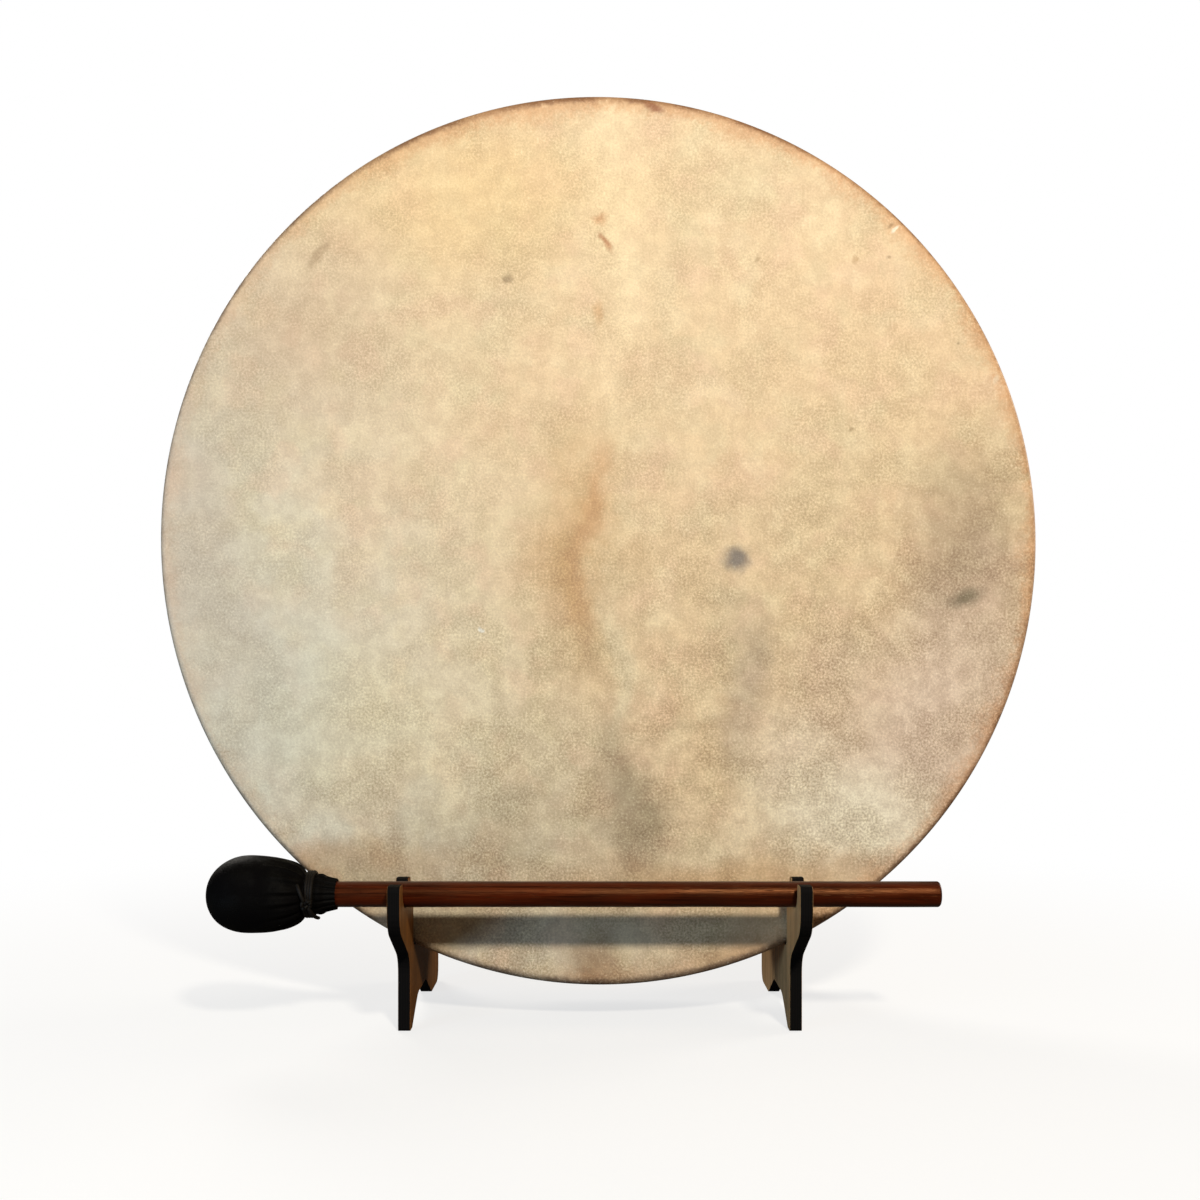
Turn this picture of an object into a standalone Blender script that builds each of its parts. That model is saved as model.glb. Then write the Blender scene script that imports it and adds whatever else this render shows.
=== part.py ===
"""A ceremonial frame drum standing in a wooden stand, with its beater laid across the front.

Metres, +Z up. The viewer looks along +Y, at the front of the drum. The floor is at Z = 0.
"""
import math

import bmesh
import bpy
from mathutils import Vector

# Clearance left between pieces that touch
FIT_GAP = 0.0003

# The drum: mean radius over the hide, and how far the hoop has pulled out of round
DRUM_RADIUS = 0.2305
DRUM_TALL = 0.0017
DRUM_SKEW = 0.0005
DRUM_DEPTH = 0.0745
HIDE_THICKNESS = 0.0015
FRONT_EDGE_RADIUS = 0.0042
BACK_EDGE_RADIUS = 0.0032
HOOP_WALL = 0.008
HOOP_INNER_CHAMFER = 0.0016

# The hide's hem, turned over the hoop's back edge and drawn in at each lace hole
HEM_SHORT_OF_HOOP = 0.0016
HEM_DRAW = 0.0011
LACE_COUNT = 12

# The lacing and the ring that the hand holds
LACE_WIDTH = 0.0052
LACE_THICKNESS = 0.0016
LACE_TAIL_INSET = 0.0045
LACE_CLEAR_OF_HOOP = 0.003
RING_RADIUS = 0.034
RING_THICKNESS = 0.0105
RING_INSIDE_BACK = 0.004

# The beater
STICK_RADIUS = 0.00635
STICK_REACH_RIGHT = 0.1688
STICK_TIP_ROUNDING = 0.0012
HEAD_RADIUS = 0.0194
HEAD_LENGTH = 0.0647
HEAD_TIP_LEFT = 0.1952
HEAD_BORE_DEPTH = 0.036
HEAD_NECK_RADIUS = 0.0100
BINDING_THICKNESS = 0.0024
BINDING_WIDTH = 0.0056
BINDING_FROM_MOUTH = 0.0130

# The stand's side boards
BOARD_THICKNESS = 0.0062
BOARD_INNER_SPACING = 0.1934
BOARD_EDGE_CHAMFER = 0.0004
PRONG_TOP = 0.079
FRONT_PRONG_WIDTH = 0.010
REAR_PRONG_WIDTH = 0.0075
PRONG_ROUNDING = 0.0028
NOTCH_BOTTOM = 0.0659
NOTCH_CLEARANCE = 0.00315
RAMP_LENGTH = 0.0115
RAMP_DROP = 0.017
SLOT_FLOOR = 0.041
SLOT_FRONT_SLACK = 0.0025
SLOT_REAR_SLACK = 0.0010
SLOT_CORNER_RADIUS = 0.004
UPRIGHT_WIDTH = 0.028
UPRIGHT_TOP = 0.118
FRONT_SWEEP_TOP = 0.0575
FRONT_SWEEP_BOTTOM = 0.0375
FRONT_SWEEP_RADIUS = 0.0135
FRONT_FOOT_BACK = 0.036
FRONT_FOOT_LENGTH = 0.008
REAR_FOOT_LENGTH = 0.032
HEEL_RADIUS = 0.008
ARCH_HEIGHT = 0.013
ARCH_RISE_LENGTH = 0.022
ARCH_FALL_LENGTH = 0.0255
ARCH_FRONT_RADIUS = 0.020
ARCH_REAR_RADIUS = 0.008

# The crossbar behind the drum
CROSSBAR_THICKNESS = 0.006
CROSSBAR_BOTTOM = 0.050
CROSSBAR_HEIGHT = 0.050
TENON_HEIGHT = 0.016
TENON_FROM_EDGE = 0.006
TENON_PROUD = 0.0008

# Facets
RIM_SEGMENTS = 72
TURNED_SEGMENTS = 36
CORNER_SEGMENTS = 5


def start_empty_scene():
    for item in list(bpy.data.objects):
        bpy.data.objects.remove(item)


def make_material(name, colour, roughness):
    material = bpy.data.materials.new(name)
    material.use_nodes = True
    shader = material.node_tree.nodes["Principled BSDF"]
    shader.inputs["Base Color"].default_value = (*colour, 1.0)
    shader.inputs["Roughness"].default_value = roughness
    shader.inputs["Metallic"].default_value = 0.0
    material.diffuse_color = (*colour, 1.0)
    return material


def make_empty(name, location):
    empty = bpy.data.objects.new(name, None)
    empty.empty_display_size = 0.02
    empty.location = location
    bpy.context.scene.collection.objects.link(empty)
    return empty


def finish_object(name, bm, material, parent, sharp_angle=35.0):
    bmesh.ops.recalc_face_normals(bm, faces=bm.faces)
    mesh = bpy.data.meshes.new(name)
    bm.to_mesh(mesh)
    bm.free()
    mesh.shade_smooth()
    mesh.set_sharp_from_angle(angle=math.radians(sharp_angle))
    mesh.materials.append(material)
    item = bpy.data.objects.new(name, mesh)
    item.parent = parent
    bpy.context.scene.collection.objects.link(item)
    return item


def arc(centre, radius, start, end, segments):
    """Points of an arc in a plane, its angles in degrees, both ends included."""
    points = []
    for step in range(segments + 1):
        angle = math.radians(start + (end - start) * step / segments)
        points.append((centre[0] + radius * math.cos(angle), centre[1] + radius * math.sin(angle)))
    return points


def rounded_outline(corners):
    """A closed outline from corners (a, b, radius), each corner rounded by its own arc."""
    outline = []
    for index, (a, b, radius) in enumerate(corners):
        here = Vector((a, b))
        to_last = (Vector(corners[index - 1][:2]) - here).normalized()
        to_next = (Vector(corners[(index + 1) % len(corners)][:2]) - here).normalized()
        half = to_last.angle(to_next) / 2.0
        centre = here + (to_last + to_next).normalized() * (radius / math.sin(half))
        first = here + to_last * (radius / math.tan(half)) - centre
        sweep = first.angle_signed(here + to_next * (radius / math.tan(half)) - centre)
        for step in range(CORNER_SEGMENTS + 1):
            turn = -sweep * step / CORNER_SEGMENTS
            x = first.x * math.cos(turn) - first.y * math.sin(turn)
            y = first.x * math.sin(turn) + first.y * math.cos(turn)
            outline.append((centre.x + x, centre.y + y))
    return outline


def join_rings(bm, rings, closed):
    """Faces between rings of vertices; a ring of one vertex is a pole."""
    pairs = list(zip(rings, rings[1:]))
    if closed:
        pairs.append((rings[-1], rings[0]))
    for first, second in pairs:
        count = max(len(first), len(second))
        for index in range(count):
            after = (index + 1) % count
            if len(first) == 1:
                bm.faces.new((first[0], second[after], second[index]))
            elif len(second) == 1:
                bm.faces.new((first[index], first[after], second[0]))
            else:
                bm.faces.new((first[index], first[after], second[after], second[index]))


def turned_piece(profile, segments, closed=False):
    """A solid turned about the X axis, from a profile of (x, radius)."""
    bm = bmesh.new()
    rings = []
    for x, radius in profile:
        if radius == 0.0:
            rings.append([bm.verts.new((x, 0.0, 0.0))])
            continue
        ring = []
        for step in range(segments):
            angle = 2.0 * math.pi * step / segments
            ring.append(bm.verts.new((x, radius * math.cos(angle), radius * math.sin(angle))))
        rings.append(ring)
    join_rings(bm, rings, closed)
    return bm


def board_piece(outline, thickness, place):
    """A flat board from an outline of (a, b); place turns (a, b, depth) into (x, y, z)."""
    bm = bmesh.new()
    near = [bm.verts.new(place(a, b, -thickness / 2.0)) for a, b in outline]
    face = bm.faces.new(near)
    grown = bmesh.ops.extrude_face_region(bm, geom=[face])
    through = Vector(place(0.0, 0.0, thickness)) - Vector(place(0.0, 0.0, 0.0))
    moved = [item for item in grown["geom"] if isinstance(item, bmesh.types.BMVert)]
    bmesh.ops.translate(bm, verts=moved, vec=through)
    return bm


def rim_radius(angle):
    """Radius over the hide, which the drying skin has pulled a little out of round."""
    return DRUM_RADIUS - DRUM_TALL * math.cos(2.0 * angle) - DRUM_SKEW * math.sin(2.0 * angle)


def rim_drop(x):
    """How far the drum's outline lies below its centre at a given x."""
    angle = -math.acos(x / DRUM_RADIUS)
    for _ in range(12):
        angle = -math.acos(x / rim_radius(angle))
    return -rim_radius(angle) * math.sin(angle)


def stand_offset():
    """The stand's x under the drum, where both side boards carry it alike."""
    reach = BOARD_INNER_SPACING / 2.0
    slope = reach / rim_drop(reach)
    offset = 0.0
    for _ in range(12):
        offset += (rim_drop(offset + reach) - rim_drop(offset - reach)) / (2.0 * slope)
    return offset


def rim_angles():
    """Angles of the rim's facets, with a vertex at every lace hole."""
    first = math.pi / RIM_SEGMENTS
    return [first + 2.0 * math.pi * step / RIM_SEGMENTS for step in range(RIM_SEGMENTS)]


def rim_piece(profile, closed):
    """A piece that follows the rim, from a profile of (inset, y, scallop).

    An inset of None is the middle of the drum. Scallop says how far the lacing draws the point in.
    """
    bm = bmesh.new()
    rings = []
    for inset, y, scallop in profile:
        if inset is None:
            rings.append([bm.verts.new((0.0, y, 0.0))])
            continue
        ring = []
        for angle in rim_angles():
            wave = -math.cos(2.0 * LACE_COUNT * angle)
            radius = rim_radius(angle) - inset - scallop * wave
            ring.append(bm.verts.new((radius * math.cos(angle), y, radius * math.sin(angle))))
        rings.append(ring)
    join_rings(bm, rings, closed)
    return bm


def hem_inset():
    return HIDE_THICKNESS + FIT_GAP + HOOP_WALL - HEM_SHORT_OF_HOOP


def make_skin(material, parent):
    """The hide: a flat head, a rounded edge, a side and a hem turned over the back."""
    front = FRONT_EDGE_RADIUS
    back = BACK_EDGE_RADIUS
    deep = DRUM_DEPTH
    wall = HIDE_THICKNESS
    profile = [(None, 0.0, 0.0)]
    profile += [(r, y, 0.0) for r, y in arc((front, front), front, 270, 180, 4)]
    profile += [(r, y, 0.0) for r, y in arc((back, deep - back), back, 180, 90, 3)]
    profile.append((hem_inset(), deep, HEM_DRAW))
    profile.append((hem_inset(), deep - wall, HEM_DRAW))
    profile += [(r, y, 0.0) for r, y in arc((back, deep - back), back - wall, 90, 180, 2)]
    profile += [(r, y, 0.0) for r, y in arc((front, front), front - wall, 180, 270, 3)]
    profile.append((None, wall, 0.0))
    return finish_object("drum_skin", rim_piece(profile, False), material, parent)


def make_hoop(material, parent):
    """The bent-wood hoop, inside the hide."""
    outer = HIDE_THICKNESS + FIT_GAP
    inner = outer + HOOP_WALL
    front = FRONT_EDGE_RADIUS
    back = BACK_EDGE_RADIUS
    near = outer
    far = DRUM_DEPTH - outer
    cut = HOOP_INNER_CHAMFER
    profile = [(r, y, 0.0) for r, y in arc((front, front), front - outer, 270, 180, 3)]
    profile += [(r, y, 0.0) for r, y in arc((back, DRUM_DEPTH - back), back - outer, 180, 90, 2)]
    profile += [(inner - cut, far, 0.0), (inner, far - cut, 0.0)]
    profile += [(inner, near + cut, 0.0), (inner - cut, near, 0.0)]
    return finish_object("drum_hoop", rim_piece(profile, True), material, parent)


def ring_depth():
    """How far behind the head's face the hand ring's middle lies."""
    return DRUM_DEPTH - RING_INSIDE_BACK


def make_hand_ring(material, parent):
    """The ring in the middle of the back."""
    bm = bmesh.new()
    rings = []
    around = 40
    for r, y in arc((RING_RADIUS, ring_depth()), RING_THICKNESS / 2.0, 0, 324, 9):
        ring = []
        for step in range(around):
            angle = 2.0 * math.pi * step / around
            ring.append(bm.verts.new((r * math.cos(angle), y, r * math.sin(angle))))
        rings.append(ring)
    join_rings(bm, rings, True)
    return finish_object("hand_ring", bm, material, parent)


def lace_route(middle):
    """Points of one lace: a hole in the hem, over the hoop, round the ring and back to the next hole."""
    half_step = math.pi / (2.0 * LACE_COUNT)
    over = DRUM_DEPTH + FIT_GAP + LACE_THICKNESS / 2.0
    hug = RING_THICKNESS / 2.0 + FIT_GAP + LACE_THICKNESS / 2.0
    clear = HIDE_THICKNESS + FIT_GAP + HOOP_WALL + LACE_CLEAR_OF_HOOP
    across = Vector((-math.sin(middle), 0.0, math.cos(middle)))
    outward = Vector((math.cos(middle), 0.0, math.sin(middle)))

    def at_hole(side, inset):
        angle = middle + side * half_step
        radius = rim_radius(angle) - inset
        return Vector((radius * math.cos(angle), over, radius * math.sin(angle)))

    route = [at_hole(-1, LACE_TAIL_INSET), at_hole(-1, clear)]
    for step in range(7):
        angle = math.pi / 2.0 + math.pi * step / 6.0
        point = outward * (RING_RADIUS + hug * math.cos(angle))
        point += across * (LACE_WIDTH * 0.55 * (step - 3.0) / 3.0)
        point.y = ring_depth() + hug * math.sin(angle)
        route.append(point)
    route += [at_hole(1, clear), at_hole(1, LACE_TAIL_INSET)]
    return route, across


def make_lace(name, middle, material, parent):
    """A flat thong swept along its route."""
    route, across = lace_route(middle)
    bm = bmesh.new()
    rings = []
    for index, point in enumerate(route):
        ahead = route[min(index + 1, len(route) - 1)]
        behind = route[max(index - 1, 0)]
        along = (ahead - behind).normalized()
        thick = along.cross(across).normalized() * (LACE_THICKNESS / 2.0)
        wide = across * (LACE_WIDTH / 2.0)
        signs = ((1, 1), (1, -1), (-1, -1), (-1, 1))
        rings.append([bm.verts.new(point + wide * a + thick * b) for a, b in signs])
    join_rings(bm, rings, False)
    bm.faces.new(rings[0])
    bm.faces.new(rings[-1])
    return finish_object(name, bm, material, parent)


def neck_shares():
    """Where the binding's groove starts and ends, as shares of the head's length."""
    middle = 1.0 - BINDING_FROM_MOUTH / HEAD_LENGTH
    half = (BINDING_WIDTH / 2.0 + FIT_GAP) / HEAD_LENGTH
    return middle - half, middle + half


def head_profile():
    """The head's outline from its tip to its mouth: (share of its length, radius)."""
    neck_start, neck_end = neck_shares()
    neck = HEAD_NECK_RADIUS / HEAD_RADIUS
    knots = ((0.012, 0.27), (0.03, 0.43), (0.06, 0.60), (0.11, 0.77), (0.17, 0.89), (0.23, 0.96),
             (0.29, 0.995), (0.36, 1.0), (0.43, 0.99), (0.50, 0.97), (0.57, 0.935), (0.63, 0.875),
             (0.68, 0.80), (0.72, 0.69), (neck_start, neck + 0.03), (neck_start + 0.01, neck),
             (neck_end - 0.01, neck), (neck_end, neck + 0.02), (0.885, 0.50), (0.93, 0.43), (1.0, 0.39))
    return [(share, HEAD_RADIUS * width) for share, width in knots]


def make_beater_head(material, parent):
    """The leather head, stuffed and drawn in at the stick, with the hole that the stick goes in."""
    tip = -HEAD_TIP_LEFT
    profile = [(tip, 0.0)]
    profile += [(tip + HEAD_LENGTH * share, radius) for share, radius in head_profile()]
    bore = STICK_RADIUS + FIT_GAP
    mouth = tip + HEAD_LENGTH
    profile.append((mouth, bore))
    profile.append((mouth - HEAD_BORE_DEPTH, bore))
    profile.append((mouth - HEAD_BORE_DEPTH, 0.0))
    bm = turned_piece(profile, TURNED_SEGMENTS)
    return finish_object("beater_head", bm, material, parent, 50.0)


def make_beater_binding(material, parent):
    """The thong tied round the head's neck, a few turns side by side."""
    middle = -HEAD_TIP_LEFT + HEAD_LENGTH - BINDING_FROM_MOUTH
    radius = HEAD_NECK_RADIUS + FIT_GAP + BINDING_THICKNESS / 2.0
    profile = []
    for across, out in arc((0.0, 0.0), 1.0, 0, 324, 9):
        profile.append((middle + across * BINDING_WIDTH / 2.0, radius + out * BINDING_THICKNESS / 2.0))
    bm = turned_piece(profile, TURNED_SEGMENTS, closed=True)
    return finish_object("beater_binding", bm, material, parent)


def make_beater_stick(material, parent):
    """The stick, from the bottom of the head's hole to its softly rounded end."""
    blind_end = -HEAD_TIP_LEFT + HEAD_LENGTH - HEAD_BORE_DEPTH + FIT_GAP
    tip = STICK_REACH_RIGHT
    soft = STICK_TIP_ROUNDING
    profile = [(blind_end, 0.0), (blind_end, STICK_RADIUS - soft / 2.0), (blind_end + soft / 2.0, STICK_RADIUS)]
    profile += arc((tip - soft, STICK_RADIUS - soft), soft, 90, 0, 3)
    profile.append((tip, 0.0))
    bm = turned_piece(profile, TURNED_SEGMENTS)
    return finish_object("beater_stick", bm, material, parent)


def notch_centre():
    """Middle of the beater's notch, behind the stand's front edge."""
    return FRONT_PRONG_WIDTH + STICK_RADIUS + NOTCH_CLEARANCE


def slot_front():
    """Front wall of the drum's slot, behind the stand's front edge."""
    rear_prong = notch_centre() + STICK_RADIUS + NOTCH_CLEARANCE + REAR_PRONG_WIDTH
    return rear_prong + RAMP_LENGTH


def slot_back():
    return slot_front() + SLOT_FRONT_SLACK + DRUM_DEPTH + FIT_GAP + LACE_THICKNESS + SLOT_REAR_SLACK


def stand_depth():
    return slot_back() + UPRIGHT_WIDTH


def board_outline():
    """A side board seen from the side: (distance behind the front edge, height)."""
    half_notch = STICK_RADIUS + NOTCH_CLEARANCE
    notch_near = notch_centre() - half_notch
    notch_far = notch_centre() + half_notch
    prong_back = notch_far + REAR_PRONG_WIDTH
    foot = FRONT_FOOT_BACK
    arch_near = foot + FRONT_FOOT_LENGTH
    arch_far = stand_depth() - REAR_FOOT_LENGTH
    full_round = half_notch * 0.999
    corners = [
        (0.0, PRONG_TOP, PRONG_ROUNDING),
        (notch_near, PRONG_TOP, PRONG_ROUNDING / 2.0),
        (notch_near, NOTCH_BOTTOM, full_round),
        (notch_far, NOTCH_BOTTOM, full_round),
        (notch_far, PRONG_TOP, PRONG_ROUNDING / 2.0),
        (prong_back, PRONG_TOP, PRONG_ROUNDING),
        (slot_front(), PRONG_TOP - RAMP_DROP, SLOT_CORNER_RADIUS),
        (slot_front(), SLOT_FLOOR, SLOT_CORNER_RADIUS),
        (slot_back(), SLOT_FLOOR, SLOT_CORNER_RADIUS),
        (slot_back(), UPRIGHT_TOP, UPRIGHT_WIDTH * 0.40),
        (stand_depth(), UPRIGHT_TOP, UPRIGHT_WIDTH * 0.58),
        (stand_depth(), 0.0, HEEL_RADIUS),
        (arch_far, 0.0, PRONG_ROUNDING),
        (arch_far - ARCH_FALL_LENGTH, ARCH_HEIGHT, ARCH_REAR_RADIUS),
        (arch_near + ARCH_RISE_LENGTH, ARCH_HEIGHT, ARCH_FRONT_RADIUS),
        (arch_near, 0.0, PRONG_ROUNDING / 2.0),
        (foot, 0.0, PRONG_ROUNDING / 2.0),
        (foot, FRONT_SWEEP_BOTTOM, FRONT_SWEEP_RADIUS),
        (0.0, FRONT_SWEEP_TOP, FRONT_SWEEP_RADIUS),
    ]
    return rounded_outline(corners)


def tenon_heights():
    """Lower edges of the crossbar's two tenons."""
    low = CROSSBAR_BOTTOM + TENON_FROM_EDGE
    high = CROSSBAR_BOTTOM + CROSSBAR_HEIGHT - TENON_FROM_EDGE - TENON_HEIGHT
    return (low, high)


def crossbar_depth():
    """Middle of the crossbar, behind the stand's front edge."""
    return stand_depth() - UPRIGHT_WIDTH / 2.0


def make_mortise_cutter(name, x, parent):
    """The two holes in a side board for the crossbar's tenons."""
    bm = bmesh.new()
    y = crossbar_depth() - stand_depth() / 2.0
    size_y = CROSSBAR_THICKNESS + 2.0 * FIT_GAP
    size_z = TENON_HEIGHT + 2.0 * FIT_GAP
    for low in tenon_heights():
        made = bmesh.ops.create_cube(bm, size=1.0)
        bmesh.ops.scale(bm, verts=made["verts"], vec=(BOARD_THICKNESS * 2.0, size_y, size_z))
        bmesh.ops.translate(bm, verts=made["verts"], vec=(x, y, low + TENON_HEIGHT / 2.0))
    mesh = bpy.data.meshes.new(name)
    bm.to_mesh(mesh)
    bm.free()
    cutter = bpy.data.objects.new(name, mesh)
    cutter.parent = parent
    cutter.display_type = "WIRE"
    cutter.hide_render = True
    bpy.context.scene.collection.objects.link(cutter)
    return cutter


def make_stand_side(name, side, material, parent):
    """A side board; side is -1 for the left one and 1 for the right one."""
    x = side * (BOARD_INNER_SPACING + BOARD_THICKNESS) / 2.0
    half_depth = stand_depth() / 2.0

    def place(a, b, depth):
        return (x + depth, a - half_depth, b)

    bm = board_piece(board_outline(), BOARD_THICKNESS, place)
    board = finish_object(name, bm, material, parent, 50.0)
    bevel = board.modifiers.new("Softened edges", "BEVEL")
    bevel.width = BOARD_EDGE_CHAMFER
    bevel.segments = 1
    bevel.limit_method = "ANGLE"
    bevel.angle_limit = math.radians(60.0)
    cut = board.modifiers.new("Mortises", "BOOLEAN")
    cut.operation = "DIFFERENCE"
    cut.solver = "EXACT"
    cut.object = make_mortise_cutter(name + "_mortises", x, parent)
    return board


def make_crossbar(material, parent):
    """The board behind the drum, with two tenons through each side board."""
    shoulder = BOARD_INNER_SPACING / 2.0 - FIT_GAP
    end = BOARD_INNER_SPACING / 2.0 + BOARD_THICKNESS + TENON_PROUD
    bottom = CROSSBAR_BOTTOM
    top = CROSSBAR_BOTTOM + CROSSBAR_HEIGHT
    right = [(shoulder, bottom)]
    for low in tenon_heights():
        right += [(shoulder, low), (end, low), (end, low + TENON_HEIGHT), (shoulder, low + TENON_HEIGHT)]
    right.append((shoulder, top))
    left = [(-x, z) for x, z in reversed(right)]
    y = crossbar_depth() - stand_depth() / 2.0

    def place(a, b, depth):
        return (a, y + depth, b)

    bm = board_piece(right + left, CROSSBAR_THICKNESS, place)
    return finish_object("stand_crossbar", bm, material, parent)


def build_drum(stand_y):
    face_y = slot_front() + SLOT_FRONT_SLACK + stand_y
    offset = stand_offset()
    height = SLOT_FLOOR + FIT_GAP + rim_drop(offset + BOARD_INNER_SPACING / 2.0)
    drum = make_empty("drum", (0.0, face_y, height))
    hide = make_material("Rawhide", (0.66, 0.54, 0.36), 0.62)
    wood = make_material("Hoop wood", (0.52, 0.36, 0.20), 0.55)
    thong = make_material("Rawhide thong", (0.62, 0.47, 0.28), 0.58)
    leather = make_material("Ring leather", (0.16, 0.085, 0.045), 0.60)
    make_skin(hide, drum)
    make_hoop(wood, drum)
    make_hand_ring(leather, drum)
    for index in range(LACE_COUNT):
        middle = 2.0 * math.pi * (index + 0.5) / LACE_COUNT
        make_lace("lace_%02d" % (index + 1), middle, thong, drum)


def build_stand(offset):
    stand = make_empty("stand", (offset, 0.0, 0.0))
    wood = make_material("Stand wood", (0.20, 0.14, 0.09), 0.60)
    make_stand_side("stand_side_left", -1, wood, stand)
    make_stand_side("stand_side_right", 1, wood, stand)
    make_crossbar(make_material("Crossbar wood", (0.22, 0.15, 0.10), 0.60), stand)


def build_beater(offset, stand_y):
    height = NOTCH_BOTTOM + STICK_RADIUS + FIT_GAP
    beater = make_empty("beater", (offset, notch_centre() + stand_y, height))
    make_beater_stick(make_material("Stick wood", (0.20, 0.065, 0.028), 0.38), beater)
    make_beater_head(make_material("Head leather", (0.012, 0.009, 0.008), 0.55), beater)
    make_beater_binding(make_material("Binding leather", (0.015, 0.011, 0.009), 0.6), beater)


def main():
    start_empty_scene()
    stand_y = -stand_depth() / 2.0
    offset = stand_offset()
    build_drum(stand_y)
    build_stand(offset)
    build_beater(offset, stand_y)


main()
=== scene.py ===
import math

import bmesh
import bpy
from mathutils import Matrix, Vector, noise


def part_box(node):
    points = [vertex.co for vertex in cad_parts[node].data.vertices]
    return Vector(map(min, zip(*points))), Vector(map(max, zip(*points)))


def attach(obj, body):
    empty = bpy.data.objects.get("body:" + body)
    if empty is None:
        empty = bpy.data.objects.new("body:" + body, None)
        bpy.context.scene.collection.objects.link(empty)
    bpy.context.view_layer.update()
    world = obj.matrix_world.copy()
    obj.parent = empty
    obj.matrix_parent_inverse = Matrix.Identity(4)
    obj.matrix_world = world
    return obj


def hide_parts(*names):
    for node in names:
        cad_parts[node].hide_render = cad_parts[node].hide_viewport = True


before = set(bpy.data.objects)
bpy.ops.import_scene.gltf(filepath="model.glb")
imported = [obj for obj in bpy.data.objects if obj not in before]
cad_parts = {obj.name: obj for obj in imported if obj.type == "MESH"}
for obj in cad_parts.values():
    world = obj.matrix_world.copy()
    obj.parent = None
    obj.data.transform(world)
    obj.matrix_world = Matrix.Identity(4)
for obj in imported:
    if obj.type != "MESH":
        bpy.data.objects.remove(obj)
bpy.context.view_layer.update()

# Places that the pieces below share, read from the frame
skinLow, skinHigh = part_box("drum_skin")
drumCentre = Vector(((skinLow.x + skinHigh.x) / 2, skinLow.y, (skinLow.z + skinHigh.z) / 2))
drumDepth = skinHigh.y - skinLow.y
halfWide = (skinHigh.x - skinLow.x) / 2
halfTall = (skinHigh.z - skinLow.z) / 2
stickLow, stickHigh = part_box("beater_stick")
headLow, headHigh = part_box("beater_head")
beaterAxis = Vector((0, (stickLow.y + stickHigh.y) / 2, (stickLow.z + stickHigh.z) / 2))
stickRadius = (stickHigh.z - stickLow.z) / 2
leftLow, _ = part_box("stand_side_left")
_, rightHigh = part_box("stand_side_right")
standMiddle = (leftLow.x + rightHigh.x) / 2


def addObject(name, data, spot=(0, 0, 0)):
    thing = bpy.data.objects.new(name, data)
    thing.location = spot
    bpy.context.scene.collection.objects.link(thing)
    return thing


# Camera: level, a little higher than the beater
view = {"distance": 0.650, "height": 0.179, "lens": 40.40, "sensor": 36.0, "shiftUp": 0.0667}


def setCamera():
    data = bpy.data.cameras.new("camera")
    data.lens = view["lens"]
    data.sensor_width = view["sensor"]
    data.shift_y = view["shiftUp"]
    camera = addObject("camera", data, (standMiddle, leftLow.y - view["distance"], view["height"]))
    camera.rotation_euler = (math.pi / 2, 0, 0)
    bpy.context.scene.camera = camera
    print("camera is in place")


setCamera()


# Small helpers for shader trees
def paint(red, green, blue):   # a tone as it looks on a screen, in the values that a shader takes
    def linear(value):
        value = value / 255
        return value / 12.92 if value <= 0.04045 else ((value + 0.055) / 1.055) ** 2.4
    return (linear(red), linear(green), linear(blue), 1.0)


def feed(tree, socket, value):
    if isinstance(value, bpy.types.NodeSocket):
        tree.links.new(value, socket)
    else:
        socket.default_value = value


def put(tree, kind, inputs=None, **settings):
    node = tree.nodes.new("ShaderNode" + kind)
    for name, value in settings.items():
        setattr(node, name, value)
    for name, value in (inputs or {}).items():
        feed(tree, node.inputs[name], value)
    return node


def calc(tree, operation, first, second=0.0, third=0.0):
    node = put(tree, "Math", operation=operation)
    for socket, value in zip(node.inputs, (first, second, third)):
        feed(tree, socket, value)
    return node.outputs[0]


def times(tree, first, second):
    return calc(tree, "MULTIPLY", first, second)


def shift(tree, operation, first, second):
    node = put(tree, "VectorMath", operation=operation)
    feed(tree, node.inputs[0], first)
    feed(tree, node.inputs["Scale" if operation == "SCALE" else 1], second)
    return node.outputs[0]


def between(tree, value, low, high, toLow=0.0, toHigh=1.0):
    node = put(tree, "MapRange", interpolation_type="SMOOTHSTEP")
    for name, number in (("Value", value), ("From Min", low), ("From Max", high),
                         ("To Min", toLow), ("To Max", toHigh)):
        feed(tree, node.inputs[name], number)
    return node.outputs[0]


def mix(tree, factor, first, second, how="MIX"):
    node = put(tree, "Mix", data_type="RGBA", blend_type=how)
    feed(tree, node.inputs[0], factor)
    feed(tree, node.inputs[6], first)
    feed(tree, node.inputs[7], second)
    return node.outputs[2]


def wash(tree, colour, mask, share, tone, how="MIX"):   # lays a tone over a colour where the mask is
    return mix(tree, times(tree, mask, share), colour, tone, how)


def cloud(tree, vector, scale, detail=3.0, roughness=0.5, kind="Fac"):
    node = put(tree, "TexNoise", {"Vector": vector, "Scale": scale, "Detail": detail, "Roughness": roughness})
    return node.outputs[kind]


def warp(tree, vector, scale, roughness, reach):   # pushes a vector about, so that what is drawn with it is ragged
    push = shift(tree, "SUBTRACT", cloud(tree, vector, scale, 1.0, roughness, "Color"), (0.5, 0.5, 0.5))
    return shift(tree, "ADD", vector, shift(tree, "SCALE", push, reach))


def away(tree, vector):   # length of a vector
    node = put(tree, "VectorMath", operation="LENGTH")
    feed(tree, node.inputs[0], vector)
    return node.outputs["Value"]


def fromAxis(tree, vector):   # distance from the drum's axis
    return away(tree, shift(tree, "MULTIPLY", vector, (1.0, 0.0, 1.0)))


def axes(tree, vector):
    return put(tree, "SeparateXYZ", {"Vector": vector}).outputs


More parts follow.
